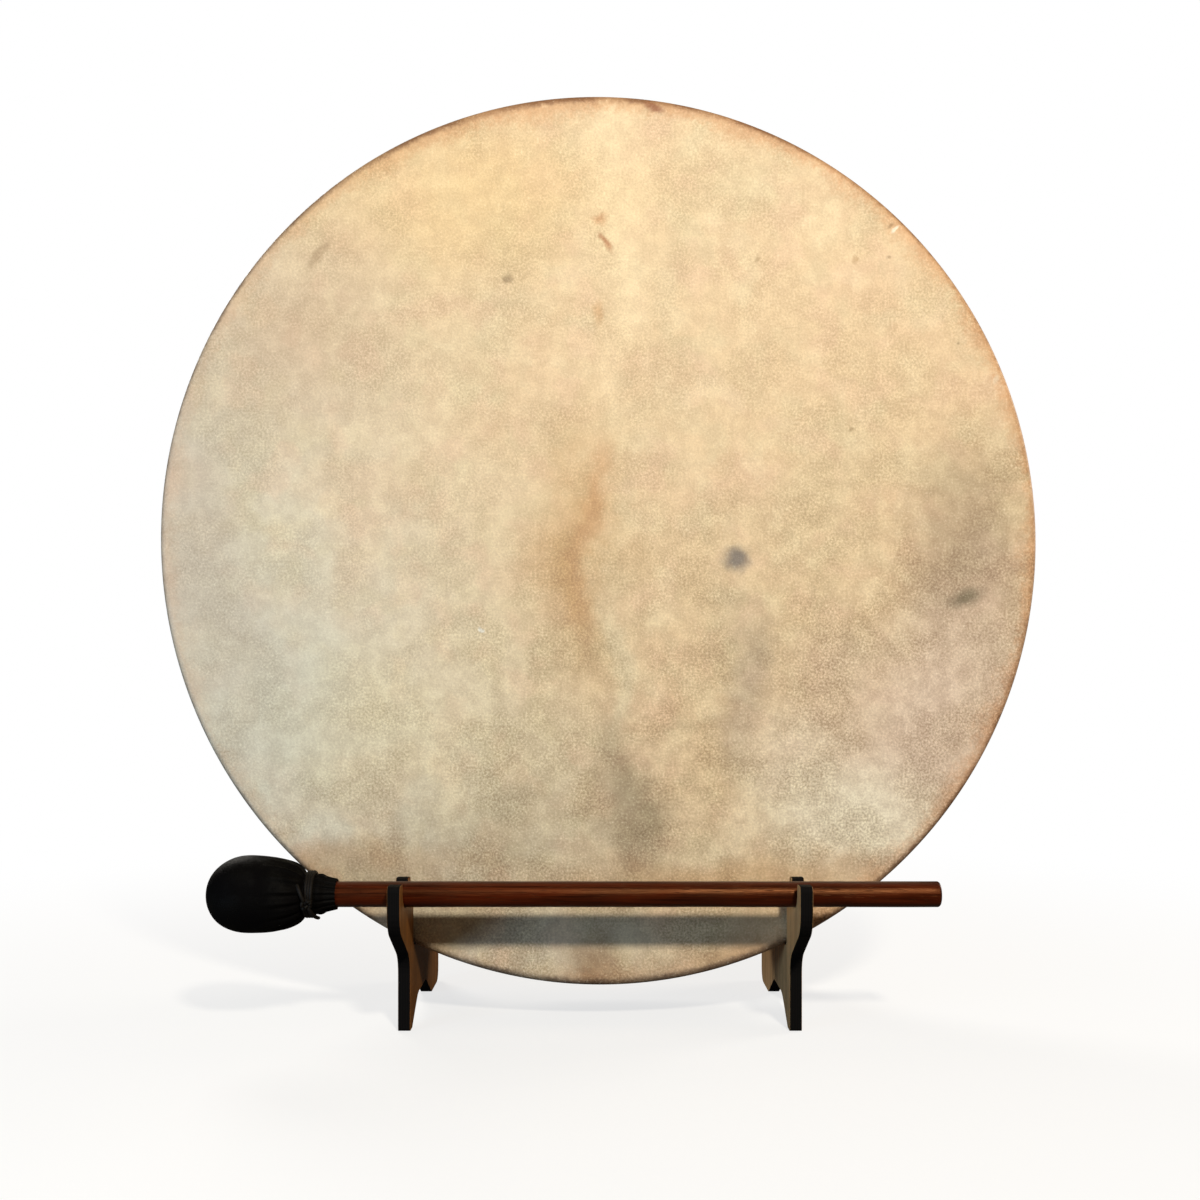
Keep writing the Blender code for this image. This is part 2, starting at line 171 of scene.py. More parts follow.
def newGroup(name, numbers, vectors=("Vector",)):
    group = bpy.data.node_groups.new(name, "ShaderNodeTree")
    for title in vectors:
        group.interface.new_socket(title, in_out="INPUT", socket_type="NodeSocketVector")
    for title, value in numbers.items():
        socket = group.interface.new_socket(title, in_out="INPUT", socket_type="NodeSocketFloat")
        socket.default_value = value
    return group, group.nodes.new("NodeGroupInput").outputs


def closeGroup(group, results):
    for title in results:
        group.interface.new_socket(title, in_out="OUTPUT", socket_type="NodeSocketFloat")
    out = group.nodes.new("NodeGroupOutput").inputs
    for title, result in results.items():
        group.links.new(result, out[title])
    return group


def place(tree, group, inputs):
    node = tree.nodes.new("ShaderNodeGroup")
    node.node_tree = group
    for name, value in inputs.items():
        feed(tree, node.inputs[name], value)
    return node.outputs


def newMaterial(name, gloss, roughness=0.5):
    material = bpy.data.materials.new(name)
    material.use_nodes = True
    tree = material.node_tree
    shader = tree.nodes["Principled BSDF"]
    shader.inputs["Roughness"].default_value = roughness
    shader.inputs["Specular IOR Level"].default_value = gloss
    return material, tree, shader, put(tree, "TexCoord").outputs["Object"]


def finishLook(tree, shader, colour, roughness, height, bump):   # bump is its depth and its strength
    feed(tree, shader.inputs["Base Color"], colour)
    feed(tree, shader.inputs["Roughness"], roughness)
    relief = put(tree, "Bump", {"Height": height, "Distance": bump[0], "Strength": bump[1]})
    tree.links.new(relief.outputs[0], shader.inputs["Normal"])


# Shader groups. Pores, creases and height of leather
def makeGrainGroup():
    group, given = newGroup("hideGrain", {"Pore Size": 0.001, "Crease Size": 0.006})
    poreScale = calc(group, "DIVIDE", 1.0, given["Pore Size"])
    creaseScale = calc(group, "DIVIDE", 1.0, given["Crease Size"])
    fine = cloud(group, given["Vector"], poreScale, 2.0, 0.6)
    cells = put(group, "TexVoronoi", {"Vector": given["Vector"], "Scale": times(group, poreScale, 0.45)})
    dots = between(group, cells.outputs["Distance"], 0.10, 0.34, 1.0, 0.0)
    gate = between(group, cloud(group, given["Vector"], creaseScale, 2.0), 0.48, 0.62)
    pores = times(group, dots, gate)
    ridged = put(group, "TexNoise", {"Vector": given["Vector"], "Scale": creaseScale, "Detail": 4.0,
                                     "Roughness": 0.62}, noise_type="RIDGED_MULTIFRACTAL")
    creases = between(group, ridged.outputs["Fac"], 0.2, 1.1)
    raised = calc(group, "MULTIPLY_ADD", fine, 0.8, times(group, pores, -0.6))
    height = calc(group, "MULTIPLY_ADD", creases, 0.5, raised)
    return closeGroup(group, {"Pores": pores, "Creases": creases, "Height": height})


# Wood whose fibres run along the vector's Z
def makeWoodGroup():
    group, given = newGroup("woodGrain", {"Band Size": 0.006, "Fibre Size": 0.0006, "Waviness": 0.4})
    drawn = shift(group, "MULTIPLY", given["Vector"], (1.0, 1.0, 0.06))
    drift = shift(group, "SUBTRACT", cloud(group, drawn, 90.0, 2.0, 0.5, "Color"), (0.5, 0.5, 0.5))
    bend = times(group, given["Waviness"], given["Band Size"])
    drifted = shift(group, "ADD", drawn, shift(group, "SCALE", drift, bend))
    rings = cloud(group, drifted, calc(group, "DIVIDE", 0.35, given["Band Size"]), 1.0, 0.4)
    bands = calc(group, "MULTIPLY_ADD", calc(group, "SINE", times(group, rings, 38.0)), 0.5, 0.5)
    fibreScale = calc(group, "DIVIDE", 1.0, given["Fibre Size"])
    hair = shift(group, "MULTIPLY", given["Vector"], (1.0, 1.0, 0.018))
    fibres = cloud(group, hair, fibreScale, 3.0, 0.65)
    dashes = shift(group, "MULTIPLY", given["Vector"], (1.0, 1.0, 0.07))
    cells = put(group, "TexVoronoi", {"Vector": dashes, "Scale": times(group, fibreScale, 0.6)})
    pores = between(group, cells.outputs["Distance"], 0.08, 0.26, 1.0, 0.0)
    height = calc(group, "MULTIPLY_ADD", pores, -0.7, fibres)
    return closeGroup(group, {"Bands": bands, "Fibres": fibres, "Pores": pores, "Height": height})


# One soft-edged mark, an oval that lies in the plane of the drum's face
def makeMarkGroup():
    group, given = newGroup("softMark", {"Turn": 0.0, "Softness": 0.5, "Strength": 1.0},
                            ("Vector", "Centre", "Size"))
    local = shift(group, "SUBTRACT", given["Vector"], given["Centre"])
    turned = put(group, "VectorRotate", {"Vector": local, "Angle": given["Turn"]}, rotation_type="Y_AXIS")
    reach = away(group, shift(group, "DIVIDE", turned.outputs[0], given["Size"]))
    inner = calc(group, "SUBTRACT", 1.0, given["Softness"])
    outer = calc(group, "ADD", 1.0, given["Softness"])
    return closeGroup(group, {"Mask": between(group, reach, inner, outer, given["Strength"], 0.0)})


grainGroup = makeGrainGroup()
woodGroup = makeWoodGroup()
markGroup = makeMarkGroup()
print("shader groups are made")


# Leather of one look: clouds between two tones, with darker creases and pores
def makeLeather(name, look):
    material, tree, shader, spot = newMaterial(name, look["gloss"])
    grain = place(tree, grainGroup, {"Vector": spot, "Pore Size": look["poreSize"],
                                     "Crease Size": look["creaseSize"]})
    scale, low, high = look["clouds"]
    tone = between(tree, cloud(tree, spot, scale, 4.0, 0.6), low, high)
    colour = mix(tree, tone, look["dark"], look["pale"])
    for mask, (share, shade) in look["marks"].items():
        colour = wash(tree, colour, grain[mask], share, shade)
    roughness = between(tree, tone, 0.0, 1.0, *look["roughness"])
    finishLook(tree, shader, colour, roughness, grain["Height"], look["bump"])
    return material


# Colour of wood of one look: bands between two tones, with fibres and pores; also returns the group's outputs
def woodColour(tree, look, vector, pale, dark):
    grain = place(tree, woodGroup, {"Vector": vector, "Band Size": look["bandSize"],
                                    "Fibre Size": look["fibreSize"], "Waviness": look["waviness"]})
    low, high, share, tone = look["fibres"]
    colour = mix(tree, grain["Bands"], pale, dark)
    colour = mix(tree, between(tree, grain["Fibres"], low, high, 0.0, share), colour, tone)
    return wash(tree, colour, grain["Pores"], *look["pores"]), grain


# Small helpers for meshes. A smooth mesh between rings of points; a ring of one point closes an end
def meshFromRings(name, rings, origin=(0, 0, 0), closed=False):
    points = []
    starts = []
    for ring in rings:
        starts.append(len(points))
        points += [tuple(p) for p in ring]
    faces = []
    count = max(len(ring) for ring in rings)
    pairs = list(zip(range(len(rings)), range(1, len(rings))))
    if closed:
        pairs.append((len(rings) - 1, 0))
    for here, there in pairs:
        a, b = starts[here], starts[there]
        for k in range(count):
            n = (k + 1) % count
            if len(rings[here]) == 1:
                faces.append((a, b + n, b + k))
            elif len(rings[there]) == 1:
                faces.append((a + k, a + n, b))
            else:
                faces.append((a + k, a + n, b + n, b + k))
    mesh = bpy.data.meshes.new(name)
    mesh.from_pydata(points, [], faces)
    mesh.shade_smooth()
    return addObject(name, mesh, origin)


def faceOutward(piece, angle):   # edges sharper than the angle stay sharp
    bm = bmesh.new()
    bm.from_mesh(piece.data)
    bmesh.ops.recalc_face_normals(bm, faces=bm.faces)
    bm.to_mesh(piece.data)
    bm.free()
    piece.data.shade_smooth()
    piece.data.set_sharp_from_angle(angle=math.radians(angle))


def dress(piece, material, slotName, *nodes):
    piece.data.materials.append(material)
    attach(piece, "root")
    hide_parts(*nodes)


def arcPoints(centre, radius, start, end, steps):
    angles = [math.radians(start + (end - start) * k / steps) for k in range(steps + 1)]
    return [(centre[0] + radius * math.cos(a), centre[1] + radius * math.sin(a)) for a in angles]


def circle(count):   # the angles of one full turn
    return [2 * math.pi * k / count for k in range(count)]


def drumPoint(radius, angle, y):   # a point round the drum's axis
    return (radius * math.cos(angle), y, radius * math.sin(angle))


def beaterPoint(x, radius, angle):   # a point round the beater's axis
    return (x, radius * math.cos(angle), radius * math.sin(angle))


def ease(value):
    value = max(0.0, min(1.0, value))
    return value * value * (3 - 2 * value)


def waver(x, y, z):   # smooth noise from -1 to 1
    return noise.noise(Vector((x, y, z)))


def ripple(angle, y, size, seed):   # smooth noise that closes on itself round the rim
    return waver(math.cos(angle) / size, y * 12 + seed, math.sin(angle) / size)


# The drum's outline
rim = {"skew": 0.0005, "laceCount": 12}
meanRadius = (halfWide + halfTall) / 2
outOfRound = (halfTall - halfWide) / 2


def rimRadius(angle):
    return meanRadius - outOfRound * math.cos(2 * angle) - rim["skew"] * math.sin(2 * angle)


def laceWave(angle):   # 1 at each lace hole and 0 halfway between two holes
    return 0.5 - 0.5 * math.cos(2 * rim["laceCount"] * angle)


# The hide: sizes in metres, noise scales per metre, shares from 0 to 1
hide = {
    "segments": 384, "thickness": 0.0015, "frontEdge": 0.0042, "backEdge": 0.0032,
    "swell": 0.00022, "swellSize": 0.075, "pucker": 0.0009, "puckerFrom": 0.020,
    "hemInset": 0.0080, "hemDraw": 0.0017, "hemRagged": 0.0005, "hemLift": 0.00022,
    "restAngle": 24.8, "restHalf": 1.5, "restFade": 4.0,
    "faceRings": 62, "innerRings": 30, "sideRings": 26, "frontArc": 9, "backArc": 6, "hemRings": 5,
    "gloss": 0.35, "roughness": (0.66, 0.54), "bump": (0.00030, 0.8),
    "warp": 0.040, "fineWarp": 0.005, "stainWarp": 0.020, "stainFineWarp": 0.004, "stainSeed": 1,
    "haloLeast": 0.001, "haloMore": 0.024, "fringe": 0.014, "rimWidth": 0.0040,
    "scales": {"warp": 22.0, "fineWarp": 150.0, "uneven": 34.0, "fringe": 260.0, "strong": 30.0, "grit": 840.0,
               "drift": 110.0},
    "shares": {"halo": 0.58, "rimLine": 0.80, "mottle": 0.72, "blotch": 0.30, "fleck": 0.34, "dots": 0.62},
    "tones": {"cream": paint(236, 210, 171), "grey": paint(226, 216, 194), "halo": paint(214, 152, 100),
              "rimGrey": paint(104, 96, 88), "rimBrown": paint(122, 80, 52), "mottle": paint(160, 142, 118),
              "mottleTop": paint(255, 255, 252), "blotch": paint(170, 150, 130),
              "blotchTop": paint(255, 255, 250), "fleck": paint(255, 244, 218), "dots": paint(138, 102, 66)},
    # Patches of other tones: how finely torn, place in the noise, its scale, detail and roughness, from and to
    # which noise they fade in, share and tone
    "patches": (("broad", 0.0, 14.0, 2.0, 0.55, 0.42, 0.66, 0.24, paint(218, 208, 172)),
                ("broad", 3.0, 20.0, 1.0, 0.50, 0.50, 0.68, 0.30, paint(234, 200, 166)),
                ("close", 5.0, 46.0, 1.0, 0.55, 0.50, 0.68, 0.27, paint(227, 213, 175)),
                ("close", 8.0, 46.0, 1.0, 0.55, 0.50, 0.68, 0.27, paint(242, 206, 176)),
                ("close", 11.0, 46.0, 1.0, 0.55, 0.50, 0.68, 0.27, paint(250, 234, 196))),
}


# How far the side stands out where the lacing gathers it; it is flat where the stand holds the drum
def hidePucker(angle, y):
    share = ease((y - hide["puckerFrom"]) / (drumDepth - hide["puckerFrom"]))
    lines = laceWave(angle) ** 2
    uneven = 0.5 + 0.5 * ripple(angle, y, 0.05, 3.0)
    fromBottom = abs(math.degrees(math.atan2(math.cos(angle), -math.sin(angle))))
    clear = ease((abs(fromBottom - hide["restAngle"]) - hide["restHalf"]) / hide["restFade"])
    return hide["pucker"] * share * (0.55 * lines + 0.6 * uneven) * clear


def hideSwell(x, z, share):   # slight waves of the stretched head, none at its edge
    size = hide["swellSize"]
    wave = waver(x / size, 4.0, z / size)
    wave += 0.4 * waver(x / size * 2.6, 9.0, z / size * 2.6)
    return hide["swell"] * wave * (1 - share ** 6)


def hideRings():
    angles = circle(hide["segments"])
    front, back, wall = hide["frontEdge"], hide["backEdge"], hide["thickness"]

    def faceRing(share, depth):
        ring = []
        for a in angles:
            radius = (rimRadius(a) - front) * share
            x, z = radius * math.cos(a), radius * math.sin(a)
            ring.append((x, depth + hideSwell(x, z, share), z))
        return ring

    def sideRing(inset, y):
        return [drumPoint(rimRadius(a) - inset + hidePucker(a, y), a, y) for a in angles]

    def hemRing(share, depth):   # from the back edge's rounding at 0 to the hem at 1
        ring = []
        for a in angles:
            hem = hide["hemInset"] + hide["hemDraw"] * (laceWave(a) ** 3 - 0.35)
            hem += hide["hemRagged"] * ripple(a, 0.0, 0.03, 7.0)
            radius = rimRadius(a) + hidePucker(a, drumDepth) * (1 - share)
            radius -= back + (hem - back) * share
            lift = hide["hemLift"] * laceWave(a) * math.sin(math.pi * min(share * 1.2, 1.0))
            ring.append(drumPoint(radius, a, depth + lift))
        return ring

    faceSteps, innerSteps = hide["faceRings"], hide["innerRings"]
    sideSteps, hemSteps = hide["sideRings"], hide["hemRings"]
    rings = [[(0, hideSwell(0, 0, 0), 0)]]
    rings += [faceRing(k / faceSteps, 0.0) for k in range(1, faceSteps)]
    rings += [sideRing(r, y) for r, y in arcPoints((front, front), front, 270, 180, hide["frontArc"])]
    sideEnd = drumDepth - back
    rings += [sideRing(0.0, front + (sideEnd - front) * k / sideSteps) for k in range(1, sideSteps)]
    rings += [sideRing(r, y) for r, y in arcPoints((back, sideEnd), back, 180, 90, hide["backArc"])]
    rings += [hemRing(k / hemSteps, drumDepth) for k in range(1, hemSteps + 1)]
    rings += [hemRing(1.02, drumDepth - wall * 0.3), hemRing(1.02, drumDepth - wall * 0.7)]
    rings += [hemRing(k / 3, drumDepth - wall) for k in (3, 2, 1)]
    rings += [sideRing(r, y) for r, y in arcPoints((back, sideEnd), back - wall, 90, 180, 3)]
    rings += [sideRing(r, y) for r, y in arcPoints((front, front), front - wall, 180, 270, 4)]
    rings += [faceRing(k / innerSteps, wall) for k in range(innerSteps - 1, 0, -1)]
    rings.append([(0, wall + hideSwell(0, 0, 0), 0)])
    return rings


# Stains and small marks of the hide, among them some painted shade and a painted highlight: name, centre and half
# size in mm from the drum's middle, turn in degrees, softness, colour and strength
hideStainsAndShades = [
    ("paleSpine", (13, 164), (11, 80), -7, 0.9, paint(250, 228, 188), 0.75),
    ("paleSpineLow", (7, -62), (6, 40), 1, 0.9, paint(232, 218, 184), 0.7),
    ("brownHalo", (-10, 0), (17, 54), -3, 1.0, paint(210, 168, 112), 0.50),
    ("brownStreak", (-6, -26), (9, 32), -6, 0.95, paint(192, 148, 94), 0.42),
    ("brownStreakCore", (-1, 21), (5, 30), -2, 0.9, paint(204, 146, 98), 0.42),
    ("greyPatch", (12, -142), (15, 42), 6, 0.9, paint(132, 120, 96), 0.52),
    ("greySmudge", (77, -76), (13, 44), 4, 0.95, paint(160, 152, 140), 0.44),
    ("greyRight", (190, -10), (26, 44), 0, 1.0, paint(156, 136, 114), 0.56),
    ("greenGrey", (-172, -88), (54, 60), 12, 1.0, paint(216, 214, 196), 0.7),
    ("warmLow", (-98, -100), (40, 36), 0, 1.0, paint(240, 226, 190), 0.6),
    ("greyLeft", (-212, 0), (28, 84), 8, 1.0, paint(204, 190, 174), 0.6),
    ("pinkGrey", (176, -100), (54, 66), -20, 1.0, paint(234, 214, 200), 0.72),
    ("paleLow", (132, -146), (42, 32), 0, 1.0, paint(255, 248, 226), 0.85),
    ("darkLow", (-52, -152), (42, 18), 0, 1.0, paint(182, 168, 136), 0.40),
    ("pinkHigh", (-156, 108), (42, 36), 30, 1.0, paint(208, 178, 148), 0.5),
    ("warmHigh", (-70, 178), (72, 30), 0, 1.0, paint(240, 208, 150), 0.5),
    # painted shade with warm bounce light on the hide just above the beater, to the left and to the right
    ("paintedBounceShade", (-112, -172), (52, 9), 4, 0.95, paint(194, 156, 112), 0.55),
    ("paintedBounceShadeRight", (84, -175), (96, 9), 0, 1.0, paint(212, 172, 126), 0.55),
    ("brownFoot", (0, -222), (14, 22), 0, 0.95, paint(152, 112, 70), 0.7),
    ("brownFootSide", (70, -218), (30, 14), 10, 0.95, paint(182, 146, 108), 0.45),
]
hideMarks = [
    ("blueSpot", (72, -10), (6.2, 5.6), 0, 0.75, paint(104, 104, 108), 0.80),
    ("oliveSpot", (191, -30), (8, 4), 20, 0.8, paint(96, 92, 66), 0.7),
    ("smallSpot", (-47, 136), (2.2, 2.0), 0, 0.6, paint(132, 108, 78), 0.55),
    ("spineStroke", (4, 155), (1.7, 5.0), 38, 0.7, paint(186, 122, 76), 0.75),
    ("spineDot", (1, 167), (3.4, 2.4), 0, 0.8, paint(206, 148, 100), 0.65),
    ("spineDrop", (0, 118), (2.4, 5.0), 0, 0.9, paint(210, 158, 106), 0.5),
    ("cornerCrease", (-145, 149), (9, 2.2), 50, 0.8, paint(168, 138, 106), 0.5),
    ("whiteFleck", (-61, -46), (1.6, 1.3), 0, 0.4, paint(252, 250, 240), 0.9),
    ("redFleck", (29, 225), (4.6, 2.4), -24, 0.6, paint(142, 76, 42), 0.7),
    # a painted highlight on a small nick at the rim, with painted shade in its dent beside it
    ("nickPaintedGlint", (154.4, 161.8), (2.3, 0.9), 42, 0.5, paint(252, 244, 222), 0.9),
    ("nickShade", (151.6, 163.4), (1.8, 0.9), 42, 0.7, paint(150, 118, 80), 0.6),
    ("lowNick", (207, 83), (1.0, 2.2), -24, 0.6, paint(246, 230, 202), 0.6),
    ("spotHigh", (151, 147), (1.0, 0.8), 0, 0.8, paint(140, 106, 74), 0.5),
    ("spotMiddle", (134, 145.5), (1.1, 1.8), 0, 0.9, paint(176, 136, 88), 0.5),
    ("spotRight", (187, 102), (0.9, 0.8), 0, 0.8, paint(124, 104, 76), 0.5),
    ("spotLow", (132, 57), (1.5, 0.9), 10, 0.8, paint(142, 114, 72), 0.6),
    ("spotLeft", (83, 146), (1.3, 0.7), 30, 0.8, paint(160, 130, 88), 0.45),
]


# The stains and painted shades go on the mesh's points: red, green and blue add to the hide's colour, alpha is
# what is left of it
def paintStainsAndShades(piece):
    noise.seed_set(hide["stainSeed"])   # keeps the noise vectors the same in each run
    layer = piece.data.color_attributes.new("stainsAndShades", "FLOAT_COLOR", "POINT")
    for point, value in zip(piece.data.vertices, layer.data):
        here = point.co + noise.noise_vector(point.co * hide["scales"]["warp"]) * hide["stainWarp"]
        here += noise.noise_vector(point.co * hide["scales"]["fineWarp"]) * hide["stainFineWarp"]
        added, left = Vector((0, 0, 0)), 1.0
        for name, middle, size, turn, softness, tint, strength in hideStainsAndShades:
            across, up = here.x - middle[0] / 1000, here.z - middle[1] / 1000
            c, s = math.cos(math.radians(turn)), math.sin(math.radians(turn))
            reach = 1000 * math.hypot((across * c + up * s) / size[0], (up * c - across * s) / size[1])
            mask = strength * (1 - ease((reach - 1 + softness) / (2 * softness)))
            added = added.lerp(Vector(tint[:3]), mask)
            left *= 1 - mask
        value.color = (*added, left)


def addMarks(tree, colour, marks, vector):
    for name, middle, size, turn, softness, tint, strength in marks:
        mask = place(tree, markGroup, {
            "Vector": vector, "Centre": (middle[0] / 1000, 0, middle[1] / 1000),
            "Size": (size[0] / 1000, 1.0, size[1] / 1000),
            "Turn": math.radians(turn), "Softness": softness, "Strength": strength})["Mask"]
        colour = mix(tree, mask, colour, tint)
    return colour


def makeHideMaterial():
    scales, shares, tones = hide["scales"], hide["shares"], hide["tones"]
    material, tree, shader, spot = newMaterial("rawhide", hide["gloss"])
    parts = axes(tree, spot)
    torn = {"broad": warp(tree, spot, scales["warp"], 0.6, hide["warp"]),
            "close": warp(tree, spot, scales["fineWarp"], 0.7, hide["fineWarp"])}

    # Cream, greyer to the lower left, with patches of other tones and the stains and painted shades
    slant = axes(tree, torn["broad"])
    slope = calc(tree, "MULTIPLY_ADD", slant["X"], 1.0, times(tree, slant["Z"], 0.55))
    colour = mix(tree, between(tree, slope, -0.20, 0.02, 1.0, 0.0), tones["cream"], tones["grey"])
    for kind, offset, scale, detail, rough, low, high, share, tone in hide["patches"]:
        aside = shift(tree, "ADD", torn[kind], (offset, 0, 0))
        patch = between(tree, cloud(tree, aside, scale, detail, rough), low, high)
        colour = wash(tree, colour, patch, share, tone)
    stainsAndShades = put(tree, "VertexColor", layer_name="stainsAndShades").outputs
    stained = put(tree, "VectorMath", operation="MULTIPLY_ADD")
    for socket, value in zip(stained.inputs, (colour, stainsAndShades["Alpha"], stainsAndShades["Color"])):
        feed(tree, socket, value)
    colour = stained.outputs[0]

    # The edge, browned where the wet hide was pulled over the hoop, more so to the upper right
    reach = calc(tree, "SUBTRACT", meanRadius, fromAxis(tree, spot))
    uneven = cloud(tree, spot, scales["uneven"], 1.0, 0.6)
    fringe = cloud(tree, spot, scales["fringe"], 2.0, 0.7)
    fringe = calc(tree, "MULTIPLY_ADD", fringe, hide["fringe"], -hide["fringe"] / 2)
    width = calc(tree, "MULTIPLY_ADD", uneven, hide["haloMore"], hide["haloLeast"])
    halo = between(tree, calc(tree, "DIVIDE", calc(tree, "ADD", reach, fringe), width), 0.1, 1.0, 1.0, 0.0)
    nearFace = between(tree, parts["Y"], 0.003, 0.020, 1.0, 0.25)
    toUpperRight = calc(tree, "MULTIPLY_ADD", parts["X"], 1.9, times(tree, parts["Z"], 1.5))
    side = between(tree, toUpperRight, -0.30, 0.30, 0.35, 1.0)
    halo = times(tree, times(tree, halo, side), nearFace)
    colour = wash(tree, colour, halo, shares["halo"], tones["halo"])
    rimLine = between(tree, calc(tree, "MULTIPLY_ADD", fringe, 0.3, reach), 0.0003, hide["rimWidth"], 1.0, 0.0)
    broken = between(tree, uneven, 0.35, 0.6, 0.55, 1.0)
    rimLine = times(tree, times(tree, rimLine, nearFace), broken)
    colour = wash(tree, colour, rimLine, shares["rimLine"], mix(tree, side, tones["rimGrey"], tones["rimBrown"]))
    colour = addMarks(tree, colour, hideMarks, torn["close"])

    # Mottling and follicles, stronger low down and in some patches
    strong = between(tree, cloud(tree, torn["broad"], scales["strong"], 1.0, 0.6), 0.36, 0.66, 0.45, 1.0)
    downRight = calc(tree, "SUBTRACT", times(tree, parts["X"], 0.5), parts["Z"])
    lower = between(tree, downRight, -0.05, 0.16, 0.60, 1.0)
    grit = cloud(tree, spot, scales["grit"], 3.0, 0.66)
    mottle = between(tree, grit, 0.28, 0.72)
    darker = mix(tree, mottle, tones["mottle"], tones["mottleTop"])
    colour = wash(tree, colour, strong, times(tree, lower, shares["mottle"]), darker, "MULTIPLY")
    drift = between(tree, cloud(tree, torn["close"], scales["drift"], 2.0, 0.62), 0.34, 0.68)
    blotch = mix(tree, drift, tones["blotch"], tones["blotchTop"])
    colour = wash(tree, colour, lower, shares["blotch"], blotch, "MULTIPLY")
    flecks = between(tree, grit, 0.58, 0.74)
    colour = wash(tree, colour, flecks, times(tree, lower, shares["fleck"]), tones["fleck"])
    colour = mix(tree, between(tree, grit, 0.20, 0.29, shares["dots"], 0.0), colour, tones["dots"])
    roughness = between(tree, mottle, 0.0, 1.0, *hide["roughness"])
    finishLook(tree, shader, colour, roughness, grit, hide["bump"])
    return material


def makeHide():
    piece = meshFromRings("rawhideHead", hideRings(), drumCentre)
    faceOutward(piece, 60.0)
    paintStainsAndShades(piece)
    dress(piece, makeHideMaterial(), "hide", "drum_skin")
    print("hide is made, faces:", len(piece.data.polygons))


makeHide()


# The bent-wood hoop
hoop = {
    "segments": 300, "wall": 0.008, "outerInset": 0.0018, "frontRadius": 0.0024, "backRadius": 0.0014,
    "innerRadius": 0.0018, "lapStart": 188.0, "lapLength": 30.0, "lapStep": 0.0007, "adze": 0.00012,
    "gloss": 0.4, "roughness": (0.44, 0.58), "bandSize": 0.010, "fibreSize": 0.0007, "waviness": 0.9,
    "bump": (0.00012, 0.6), "pale": paint(196, 152, 104), "dark": paint(170, 122, 76),
    "fibres": (0.35, 0.7, 0.5, paint(142, 98, 60)), "pores": (0.35, paint(104, 70, 42)),
    "stain": (0.3, paint(150, 108, 68)),
}


# The scarf joint inside the hoop: one end laid over the other, thinning to nothing
def lapHeight(angle):
    along = (math.degrees(angle) - hoop["lapStart"]) / hoop["lapLength"]
    if 0.0 <= along <= 1.0:
        return -hoop["lapStep"] * (1 - along) * ease(along * 40)
    return 0.0


def makeHoopMaterial():
    material, tree, shader, spot = newMaterial("hoopWood", hoop["gloss"])
    parts = axes(tree, spot)
    around = times(tree, calc(tree, "ABSOLUTE", calc(tree, "ARCTAN2", parts["Z"], parts["X"])), meanRadius)
    bent = put(tree, "CombineXYZ", {"X": fromAxis(tree, spot), "Y": parts["Y"], "Z": around}).outputs[0]
    colour, grain = woodColour(tree, hoop, bent, hoop["pale"], hoop["dark"])
    colour = wash(tree, colour, between(tree, cloud(tree, spot, 18.0), 0.45, 0.7), *hoop["stain"])
    roughness = between(tree, grain["Fibres"], 0.3, 0.7, *hoop["roughness"])
    finishLook(tree, shader, colour, roughness, grain["Height"], hoop["bump"])
    return material


def makeHoop():
    near = hoop["outerInset"]
    far = drumDepth - hoop["outerInset"]
    inner = near + hoop["wall"]
    f, b, i = hoop["frontRadius"], hoop["backRadius"], hoop["innerRadius"]
    profile = arcPoints((near + f, near + f), f, 270, 180, 4)
    profile += arcPoints((near + b, far - b), b, 180, 90, 3)
    profile += arcPoints((inner - i, far - i), i, 90, 0, 4)
    profile += [(inner, far - i - (far - near - 2 * i) * k / 6) for k in range(1, 6)]
    profile += arcPoints((inner - i, near + i), i, 0, -90, 4)
    rings = []
    for inset, y in profile:
        ring = []
        for a in circle(hoop["segments"]):
            radius = rimRadius(a) - inset
            if inset > inner - i * 0.8:
                radius += lapHeight(a) + hoop["adze"] * ripple(a, y * 3, 0.06, 1.0)
            ring.append(drumPoint(radius, a, y))
        rings.append(ring)
    piece = meshFromRings("bentHoop", rings, drumCentre, closed=True)
    faceOutward(piece, 50.0)
    dress(piece, makeHoopMaterial(), "hoop_wood", "drum_hoop")
    print("hoop is made")


makeHoop()


# The lacing: flat thongs from the hem to the hand ring and back
lacing = {
    "width": 0.0052, "thickness": 0.0016, "gap": 0.0003, "tailInset": 0.0046, "clearInset": 0.0128,
    "turns": 1.5, "pitch": 0.0060, "runPoints": 22, "wrapPoints": 42, "sides": 12,
    "wobble": 0.0006, "flipFrom": 0.25, "flipLength": 0.45, "uneven": 0.10, "unevenThick": 0.12,
    "flatness": 0.55, "roundness": 0.75, "gloss": 0.45, "roughness": (0.42, 0.6), "poreSize": 0.0009,
    "creaseSize": 0.004, "bump": (0.00018, 0.7), "clouds": (60.0, 0.3, 0.7),
    "dark": paint(176, 132, 82), "pale": paint(214, 180, 126),
    "marks": {"Creases": (0.30, paint(132, 90, 52)), "Pores": (0.4, paint(104, 70, 42))},
}
ringLow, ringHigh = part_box("hand_ring")
ringTube = (ringHigh.y - ringLow.y) / 2
ringRadius = (ringHigh.x - ringLow.x) / 2 - ringTube
ringDepth = (ringHigh.y + ringLow.y) / 2 - drumCentre.y


